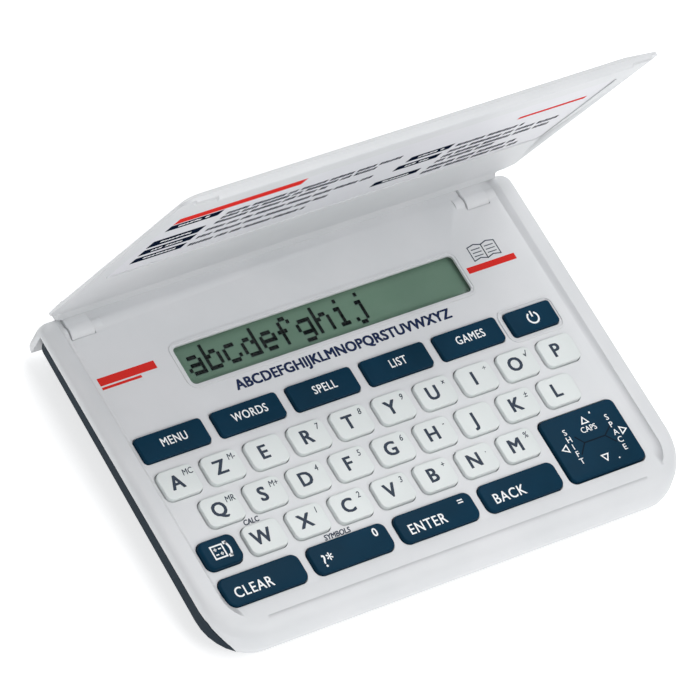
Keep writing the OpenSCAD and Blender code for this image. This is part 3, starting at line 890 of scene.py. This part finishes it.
@dataclass
class ArrowPad:
    """The tilting arrow pad, with painted shade in its creases, and its arrows and words. Offsets are from its
    printed middle.
    """

    node: str = "nav_pad"
    rim_round: float = 0.35
    arrow: float = 1.85
    arrow_wide: float = 0.95
    arrow_high: float = 0.8
    line: float = 0.28
    tick_line: float = 0.36
    crease: float = 0.34
    off_x: float = 0.55
    word_cap: float = 1.45
    word_weight: float = 0.03
    caps_at: tuple[float, float] = (0.1, 2.85)
    columns: tuple[tuple[str, float, float], ...] = (("SHIFT", -5.9, 1.85), ("SPACE", 5.7, 1.95))
    arrows: tuple[tuple[float, float, float], ...] = (
        (0.1, 4.95, 0), (0.0, -4.8, 180), (-8.1, 0.0, 90), (7.8, -0.1, -90))
    ticks: tuple[tuple[float, float, float, float], ...] = (
        (2.35, 5.95, 2.5, 6.4), (2.95, -5.7, 3.05, -6.0))
    hub: float = 2.8
    spokes: tuple[tuple[int, int, float, float], ...] = (
        (-1, 1, 1.5, 2.0), (-1, -1, 2.3, 2.4), (1, 1, 2.7, 1.9), (1, -1, 1.9, 2.3))

    def arrow_mesh(self, x: float, y: float, turn_deg: float) -> bpy.types.Mesh:
        """Draws the outline of an arrow that points up before its turn.

        Args:
            x: the arrow's middle, in millimetres.
            y: the same, towards the rear.
            turn_deg: its turn to the left, in degrees.

        Returns:
            The outline.
        """
        half = self.arrow / 2
        wide, high = half * self.arrow_wide, half * self.arrow_high
        cos, sin = math.cos(math.radians(turn_deg)), math.sin(math.radians(turn_deg))
        points = [(x + px * cos - py * sin, y + px * sin + py * cos)
                  for px, py in ((-wide, -high), (wide, -high), (0.0, high))]
        return outline_mesh(points, True, self.line)

    def build(self) -> None:
        """Builds the pad, all its prints and the painted shade in its creases."""
        KeyCap(self.node, Finish.BLUE_KEY, self.rim_round).build()
        low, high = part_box(self.node)
        x, y, top = (low.x + high.x) / 2 / MM, (low.y + high.y) / 2 / MM, high.z / MM
        cx = x + self.off_x
        lines = [self.arrow_mesh(cx + dx, y + dy, turn) for dx, dy, turn in self.arrows]
        lines += [outline_mesh([(cx + ax, y + ay), (cx + bx, y + by)], False, self.tick_line)
                  for ax, ay, bx, by in self.ticks]
        words = [Word("CAPS", cx + self.caps_at[0], y + self.caps_at[1], self.word_cap, narrow=0.9,
                      weight=self.word_weight)]
        for text, column, pitch in self.columns:
            for i, letter in enumerate(text):
                words.append(Word(letter, cx + column, y + ((len(text) - 1) / 2 - i) * pitch, self.word_cap,
                                  weight=self.word_weight))
        place = at_height(top + LIFT)
        body = body_of(self.node)
        print_on("nav_pad_print", [word_mesh(w) for w in words] + lines, place, Finish.WHITE_INK, body)
        # Painted shade: dark lines on the pad's top, where its creases lie in shade.
        creases = [bar_mesh(cx - self.hub, cx + self.hub, y, self.crease)]
        for sx, sy, ax, ay in self.spokes:
            ends = [(cx + sx * self.hub, y), (cx + sx * (self.hub + ax), y + sy * ay)]
            creases.append(outline_mesh(ends, False, self.crease))
        print_on("nav_pad_painted_crease_shade", creases, place, Finish.GROOVE_PAINTED_SHADE, body)
        LOG.info("arrow pad: %d words", len(words))


# Each letter of the display is eight rows of five dots, parted by slashes.
GLYPHS = {
    "a": "...../...../.###./....#/.####/#...#/.####/.....",
    "b": "#..../#..../#.##./##..#/#...#/#...#/####./.....",
    "c": "...../...../.###./#..../#..../#...#/.###./.....",
    "d": "....#/....#/.##.#/#..##/#...#/#...#/.####/.....",
    "e": "...../...../.###./#...#/#####/#..../.###./.....",
    "f": "..##./.#..#/.#.../###../.#.../.#.../.#.../.....",
    "g": "...../...../.####/#...#/#...#/.####/....#/.###.",
    "h": "#..../#..../#.##./##..#/#...#/#...#/#...#/.....",
    "i": "..#../...../.##../..#../..#../..#../.###./.....",
    "j": "...#./...../..##./...#./...#./...#./#..#./.##..",
}


def socket_id(tree: bpy.types.NodeTree, name: str) -> str:
    """Returns the identifier of a tree's named input."""
    return next(item.identifier for item in tree.interface.items_tree
                if item.item_type == "SOCKET" and item.in_out == "INPUT" and item.name == name)


def stamp_tree(name: str, sizes: Sequence[str], finish: Finish) -> bpy.types.NodeTree:
    """Builds a Geometry Nodes tree that stands a flat block on each point of its input.

    Args:
        name: the tree's name.
        sizes: the names of the block's width and height inputs.
        finish: the blocks' finish.

    Returns:
        The tree, which ends in Realize Instances and Set Material.
    """
    tree = bpy.data.node_groups.new(name, "GeometryNodeTree")
    tree.interface.new_socket("Geometry", in_out="INPUT", socket_type="NodeSocketGeometry")
    for size in sizes:
        tree.interface.new_socket(size, in_out="INPUT", socket_type="NodeSocketFloat")
    tree.interface.new_socket("Geometry", in_out="OUTPUT", socket_type="NodeSocketGeometry")
    into = add_node(tree, "NodeGroupInput")
    size = add_node(tree, "ShaderNodeCombineXYZ", {"Z": FILM * MM},
                    {"X": into.outputs[sizes[0]], "Y": into.outputs[sizes[1]]})
    block = add_node(tree, "GeometryNodeMeshCube", links={"Size": size.outputs["Vector"]})
    length = add_node(tree, "GeometryNodeInputNamedAttribute", {"data_type": "FLOAT", "Name": "stretch"})
    stretch = add_node(tree, "ShaderNodeCombineXYZ", {"Y": 1.0, "Z": 1.0}, {"X": length.outputs["Attribute"]})
    stand = add_node(tree, "GeometryNodeInstanceOnPoints", links={
        "Points": into.outputs["Geometry"], "Instance": block.outputs["Mesh"],
        "Scale": stretch.outputs["Vector"]})
    real = add_node(tree, "GeometryNodeRealizeInstances", links={"Geometry": stand.outputs["Instances"]})
    inked = add_node(tree, "GeometryNodeSetMaterial", {"Material": material_of(finish)},
                     {"Geometry": real.outputs["Geometry"]})
    add_node(tree, "NodeGroupOutput", links={"Geometry": inked.outputs["Geometry"]})
    return tree


@dataclass(frozen=True)
class Block:
    """One flat block of a stamped pattern: its middle in millimetres and its stretch along X."""

    x: float
    y: float
    stretch: float = 1.0


def stamp_blocks(name: str, blocks: Sequence[Block], width: float, height: float, finish: Finish,
                 place: Matrix, body: str) -> bpy.types.Object:
    """Stamps equal flat blocks on a plane with Geometry Nodes.

    Args:
        name: the piece's name.
        blocks: where the blocks stand.
        width: a block's width in millimetres, before its stretch.
        height: a block's height in millimetres.
        finish: the blocks' finish.
        place: where the plane lies on the object.
        body: the body that the blocks ride on.

    Returns:
        The stamped piece, as a plain mesh.
    """
    points = bpy.data.meshes.new(name + "_points")
    points.from_pydata([(b.x * MM, b.y * MM, 0.0) for b in blocks], [], [])
    attribute = points.attributes.new("stretch", "FLOAT", "POINT")
    attribute.data.foreach_set("value", [b.stretch for b in blocks])
    piece = new_piece(name, points)
    tree = stamp_tree(name + "_stamp", ("Width", "Height"), finish)
    stamp = piece.modifiers.new("stamp", "NODES")
    stamp.node_group = tree
    stamp[socket_id(tree, "Width")] = width * MM
    stamp[socket_id(tree, "Height")] = height * MM
    mesh = baked(piece)
    piece.modifiers.clear()
    piece.data = mesh
    mesh.transform(place)
    dress(piece, finish)
    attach(piece, body)
    LOG.info("%s: %d blocks", name, len(blocks))
    return piece


@dataclass
class Display:
    """The display: cell, frame, window, contact rubber, and dots with their painted shadows."""

    text: str = "abcdefghij"
    dot_x: float = 0.80
    dot_y: float = 0.95
    gap: float = 0.03
    start_x: float = -34.2
    start_y: float = 26.1
    pitch: float = 4.8
    # Where each dot's painted shadow lies: its shift from the dot, and its height in films.
    painted_shadow_shift: tuple[float, float] = (-0.15, -0.15)
    painted_shadow_films: float = 0.5
    dot_films: float = 2.0

    def build(self) -> None:
        """Dresses the display's nodes, stamps its dots and stamps a paler painted shadow under each dot."""
        dress(frame["nodes"]["lcd_glass"], Finish.DISPLAY)
        dress(frame["nodes"]["display_window"], Finish.WINDOW)
        dress(frame["nodes"]["lcd_frame"], Finish.INNER_PART)
        dress(frame["nodes"]["lcd_connector"], Finish.ZEBRA_RUBBER)
        blocks = []
        for i, letter in enumerate(self.text):
            for row, dots in enumerate(GLYPHS[letter].split("/")):
                for col, dot in enumerate(dots):
                    if dot == "#":
                        blocks.append(Block(self.start_x + i * self.pitch + (col + 0.5) * self.dot_x,
                                            self.start_y - (row + 0.5) * self.dot_y))
        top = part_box("lcd_glass")[1].z / MM
        width, height = self.dot_x - self.gap, self.dot_y - self.gap
        # Painted shadow: a paler copy of each dot, set a little to the left and front and laid under it, stands
        # for the shadow the dot casts on the reflector.
        shade = [Block(b.x + self.painted_shadow_shift[0], b.y + self.painted_shadow_shift[1]) for b in blocks]
        stamp_blocks("display_dot_painted_shadows", shade, width, height, Finish.DOT_PAINTED_SHADOW,
                     at_height(top + LIFT + FILM * self.painted_shadow_films), "case")
        stamp_blocks("display_dots", blocks, width, height, Finish.DOT_INK,
                     at_height(top + LIFT + FILM * self.dot_films), "case")


@dataclass(frozen=True)
class BookSign:
    """A plain open book in thin lines, with its sizes in millimetres from its middle."""

    x: float = 46.0
    y: float = 25.3
    page: tuple[tuple[float, float], ...] = (
        (0.0, -2.0), (1.7, -1.5), (3.6, -1.9), (3.6, 1.6), (1.7, 2.0), (0.0, 1.5))
    page_line: float = 0.26
    rows: tuple[float, ...] = (0.0, 0.85, 1.7)
    rows_y: float = 0.8
    row: tuple[float, float] = (0.6, 3.0)
    row_line: float = 0.22

    def meshes(self) -> list[bpy.types.Mesh]:
        """Draws both pages and their lines.

        Returns:
            The meshes.
        """
        pages = []
        for side in (-1, 1):
            page = [(self.x + side * dx, self.y + dy) for dx, dy in self.page]
            pages.append(outline_mesh(page, True, self.page_line))
            for down in self.rows:
                low = self.y + self.rows_y - down
                ends = [(self.x + side * end, low) for end in self.row]
                pages.append(outline_mesh(ends, False, self.row_line))
        return pages


@dataclass
class Case:
    """The two shells with the marks printed on the deck, and what they hold."""

    title: str = "ABCDEFGHIJKLMNOPQRSTUVWXYZ"
    title_x: float = 1.2
    title_y: float = 14.0
    title_cap: float = 2.45
    title_weight: float = 0.26
    title_spread: float = 1.035
    label_cap: float = 1.3
    labels: tuple[tuple[str, float, float, float], ...] = (
        ("CALC", -41.3, -15.8, 0.85), ("SYMBOLS", -24.7, -24.95, 0.9))
    left_stripes: tuple[tuple[float, float, float, float], ...] = (
        (-56.0, -41.6, 24.4, 1.9), (-56.0, -46.0, 22.8, 0.6))
    right_stripe: tuple[float, float, float, float] = (39.4, 52.4, 21.7, 1.5)
    level: float = 0.999
    steps_per_mm: int = 50

    def build(self) -> None:
        """Builds the shells, dresses the inner pieces and prints the deck."""
        Shell("upper_case", "upper_shell", Finish.WHITE_SHELL).build()
        Shell("lower_case", "lower_shell", Finish.DARK_SHELL).build()
        inner = {"battery_door": Finish.DARK_SHELL, "case_screws": Finish.STEEL,
                 "circuit_board": Finish.BOARD, "chip_blob": Finish.RESIN, "key_mat": Finish.KEY_RUBBER,
                 "coin_cells": Finish.CELL_CAN, "battery_contacts": Finish.CONTACT,
                 "hinge_pins": Finish.STEEL, "nav_rocker": Finish.INNER_PART}
        for node, finish in inner.items():
            dress(frame["nodes"][node], finish)
            LOG.info("%s: dressed", node)
        self.print_deck()

    def deck_rise(self) -> float:
        """Finds how far the deck stands above the display window: the level with the largest flat area.

        Returns:
            The deck's rise, in millimetres.
        """
        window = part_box("display_window")[1].z
        areas: dict[int, float] = {}
        for face in frame["nodes"]["upper_case"].data.polygons:
            if face.normal.z > self.level and face.center.z > window:
                level = round(face.center.z / MM * self.steps_per_mm)
                areas[level] = areas.get(level, 0.0) + face.area
        return max(areas, key=areas.get) / self.steps_per_mm - window / MM

    def print_deck(self) -> None:
        """Prints the title, the small labels and the plain ornaments on the deck."""
        place = at_height(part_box("display_window")[1].z / MM + self.deck_rise() + LIFT)
        heading = Word(self.title, self.title_x, self.title_y, self.title_cap, weight=self.title_weight,
                       spread=self.title_spread)
        print_on("deck_title", [word_mesh(heading)], place, Finish.NAVY_INK, "case")
        labels = [word_mesh(Word(text, x, y, self.label_cap, narrow=narrow, lean=0.2, weight=0.1))
                  for text, x, y, narrow in self.labels]
        print_on("deck_labels", labels, place, Finish.SLATE_INK, "case")
        stripes = [bar_mesh(*stripe) for stripe in self.left_stripes]
        print_on("deck_stripe_left", stripes, place, Finish.RED_INK, "case")
        print_on("deck_stripe_right", [bar_mesh(*self.right_stripe)], place, Finish.RED_INK, "case")
        print_on("deck_book_sign", BookSign().meshes(), place, Finish.SLATE_INK, "case")


@dataclass(frozen=True)
class Strokes:
    """Lines broken into strokes a letter wide, with a space after each few, as print too small to read."""

    seed: int = 7
    factor: int = 1103515245
    addend: int = 12345
    modulus: int = 2147483648
    word_least: int = 3
    word_more: int = 6
    long_least: float = 0.5
    long_more: float = 0.5
    wobble: float = 0.3
    letter_gap: float = 0.22
    word_gap: float = 1.0
    stop: float = 0.4

    def blocks(self, rows: Sequence[tuple[float, float, float]]) -> list[Block]:
        """Breaks lines into strokes, the same ones on each run.

        Args:
            rows: start, end and height of each line.

        Returns:
            The strokes as blocks.
        """
        blocks = []
        state = self.seed
        for start, end, y in rows:
            x, left = start, 0
            while x < end - self.stop:
                state = (state * self.factor + self.addend) % self.modulus
                share = state / self.modulus
                if left == 0:
                    left = self.word_least + int(share * self.word_more)
                long = self.long_least + self.long_more * share
                blocks.append(Block(x + long / 2, y + self.wobble * (share - 0.5), long))
                left -= 1
                x += long + (self.letter_gap if left else self.word_gap)
        return blocks


@dataclass
class Lid:
    """The lid with its printed card. Its prints are placed by the distance from the hinge, in millimetres."""

    stroke_high: float = 1.7
    bar_stroke_high: float = 0.9
    bar_ends: tuple[float, float] = (2.6, 2.4)
    bars: tuple[tuple[float, float, float, float], ...] = (
        (-55.0, -41.8, 51.2, 54.6), (-54.5, -41.5, 41.0, 45.2), (-54.0, -40.8, 36.1, 39.6),
        (-53.5, -40.6, 31.0, 34.4), (10.4, 21.8, 43.6, 46.8), (9.7, 21.2, 38.8, 41.8),
        (8.4, 20.7, 30.4, 33.2))
    rows: tuple[tuple[float, float, float], ...] = (
        (-39.0, 5.5, 50.2), (-39.0, 0.7, 47.6), (-39.0, -10.4, 44.6), (-39.0, 3.0, 40.4),
        (-39.0, -5.3, 36.0), (-38.8, -9.3, 31.3),
        (23.5, 41.4, 44.3), (23.5, 52.3, 40.8), (23.5, 52.8, 37.6), (23.5, 39.7, 34.8),
        (23.5, 47.0, 31.0), (23.5, 50.0, 28.0))
    stripes: tuple[tuple[float, float, float, float], ...] = (
        (-55.0, -23.0, 57.0, 3.6), (36.0, 54.0, 51.2, 1.5))

    def hinge(self) -> tuple[Vector, float]:
        """Returns the hinge's point and the angle that the lid stands open, in radians."""
        joint = next(j for j in frame["joints"] if j["name"] == "lid_hinge")
        return Vector(joint["pos_m"]), math.radians(-joint["range_deg"][0])

    def card_offset(self) -> float:
        """Finds the distance from the hinge axis to the card's face, square to the lid.

        Returns:
            The distance, in metres.
        """
        pivot, opened = self.hinge()
        back = Matrix.Rotation(opened, 4, "X") @ Matrix.Translation(-pivot)
        return min((back @ v.co).z for v in frame["nodes"]["lid_card"].data.vertices)

    def place(self) -> Matrix:
        """Finds the card's plane: X along the hinge, Y up the lid from the hinge, facing the keys.

        Returns:
            The plane's matrix.
        """
        pivot, opened = self.hinge()
        swing = Matrix.Translation(pivot) @ Matrix.Rotation(-opened, 4, "X")
        closed = Matrix(((1, 0, 0, 0), (0, -1, 0, 0), (0, 0, -1, self.card_offset()), (0, 0, 0, 1)))
        return swing @ closed

    def build(self) -> None:
        """Builds the lid and prints its card."""
        Shell("lid", "lid_shell", Finish.WHITE_SHELL).build()
        dress(frame["nodes"]["lid_card"], Finish.CARD)
        place = self.place() @ at_height(LIFT)
        boxes = [bar_mesh(left, right, (low + high) / 2, high - low) for left, right, low, high in self.bars]
        print_on("card_bars", boxes, place, Finish.CARD_INK, "lid")
        strokes = Strokes()
        stamp_blocks("card_lines", strokes.blocks(self.rows), 1.0, self.stroke_high, Finish.CARD_INK, place,
                     "lid")
        inside = [(left + self.bar_ends[0], right - self.bar_ends[1], (low + high) / 2)
                  for left, right, low, high in self.bars]
        stamp_blocks("card_bar_words", strokes.blocks(inside), 1.0, self.bar_stroke_high, Finish.WHITE_INK,
                     place @ at_height(2 * FILM), "lid")
        print_on("card_stripes", [bar_mesh(*stripe) for stripe in self.stripes], place, Finish.RED_INK, "lid")


@dataclass
class Studio:
    """The pale floor, the soft lights and the camera at the photograph's angle."""

    lens_mm: float = 314.2
    place: tuple[float, float, float] = (-0.69178, -0.40903, 1.01834)
    right: tuple[float, float, float] = (0.79897, -0.49371, 0.34335)
    up: tuple[float, float, float] = (0.27244, 0.80616, 0.52525)
    back: tuple[float, float, float] = (-0.53612, -0.32612, 0.77860)
    floor_half: float = 3.0
    floor_colour: str = "#D8D9DA"
    floor_glow: float = 0.65
    aim: tuple[float, float, float] = (0.0, 0.0, 0.03)
    lights: tuple[tuple[str, tuple[float, float, float], float, float], ...] = (
        ("front_light", (0.3, -0.7, 1.0), 0.8, 6.8), ("rear_light", (0.35, 0.45, 1.1), 0.8, 5.8),
        ("fill_light", (-0.85, -0.55, 0.6), 0.8, 2.6))
    sky: str = "#F4F6F8"
    sky_strength: float = 0.3

    def camera(self) -> None:
        """Sets the camera where the photograph's was found to be."""
        data = bpy.data.cameras.new("camera")
        data.lens = self.lens_mm
        data.sensor_width = 36
        data.clip_start = 0.01
        camera = bpy.data.objects.new("camera", data)
        bpy.context.scene.collection.objects.link(camera)
        columns = (Vector(self.right), Vector(self.up), Vector(self.back))
        camera.matrix_world = Matrix.Translation(self.place) @ Matrix(columns).transposed().to_4x4()
        bpy.context.scene.camera = camera

    def floor(self) -> None:
        """Lays a pale floor under the object."""
        half = self.floor_half
        corners = [(-half, -half, 0), (half, -half, 0), (half, half, 0), (-half, half, 0)]
        mesh = bpy.data.meshes.new("floor")
        mesh.from_pydata(corners, [], [(0, 1, 2, 3)])
        floor = new_piece("floor", mesh)
        material, tree = new_material("pale_floor")
        shader = add_node(tree, "ShaderNodeBsdfPrincipled", {
            "Base Color": linear(self.floor_colour), "Roughness": 0.9, "Specular IOR Level": 0.1,
            "Emission Color": linear("#FFFFFF"), "Emission Strength": self.floor_glow})
        add_node(tree, "ShaderNodeOutputMaterial", links={"Surface": shader.outputs["BSDF"]})
        mesh.materials.append(material)

    def light(self, name: str, place: tuple[float, float, float], size: float, watts: float) -> None:
        """Adds one soft light that looks at the object.

        Args:
            name: the light's name.
            place: where it stands, in metres.
            size: its side, in metres.
            watts: its power.
        """
        data = bpy.data.lights.new(name, "AREA")
        data.size = size
        data.energy = watts
        lamp = bpy.data.objects.new(name, data)
        bpy.context.scene.collection.objects.link(lamp)
        lamp.location = place
        lamp.rotation_mode = "QUATERNION"
        lamp.rotation_quaternion = (Vector(place) - Vector(self.aim)).to_track_quat("Z", "Y")

    def build(self) -> None:
        """Builds the whole studio."""
        self.camera()
        self.floor()
        for light in self.lights:
            self.light(*light)
        world = bpy.data.worlds.new("studio")
        bpy.context.scene.world = world
        world.use_nodes = True
        background = world.node_tree.nodes["Background"]
        background.inputs["Color"].default_value = linear(self.sky)
        background.inputs["Strength"].default_value = self.sky_strength
        bpy.context.scene.view_settings.view_transform = "Standard"
        LOG.info("studio: %d lights", len(self.lights))


def main() -> None:
    """Builds the object's parts in order, then the studio."""
    logging.basicConfig(level=logging.INFO, format="%(name)s: %(message)s")
    builders: list[Callable[[], None]] = [Case().build, Display().build, Keyboard().build, ArrowPad().build,
                                          Lid().build, Studio().build]
    for build in builders:
        build()


if __name__ == "__main__":
    main()
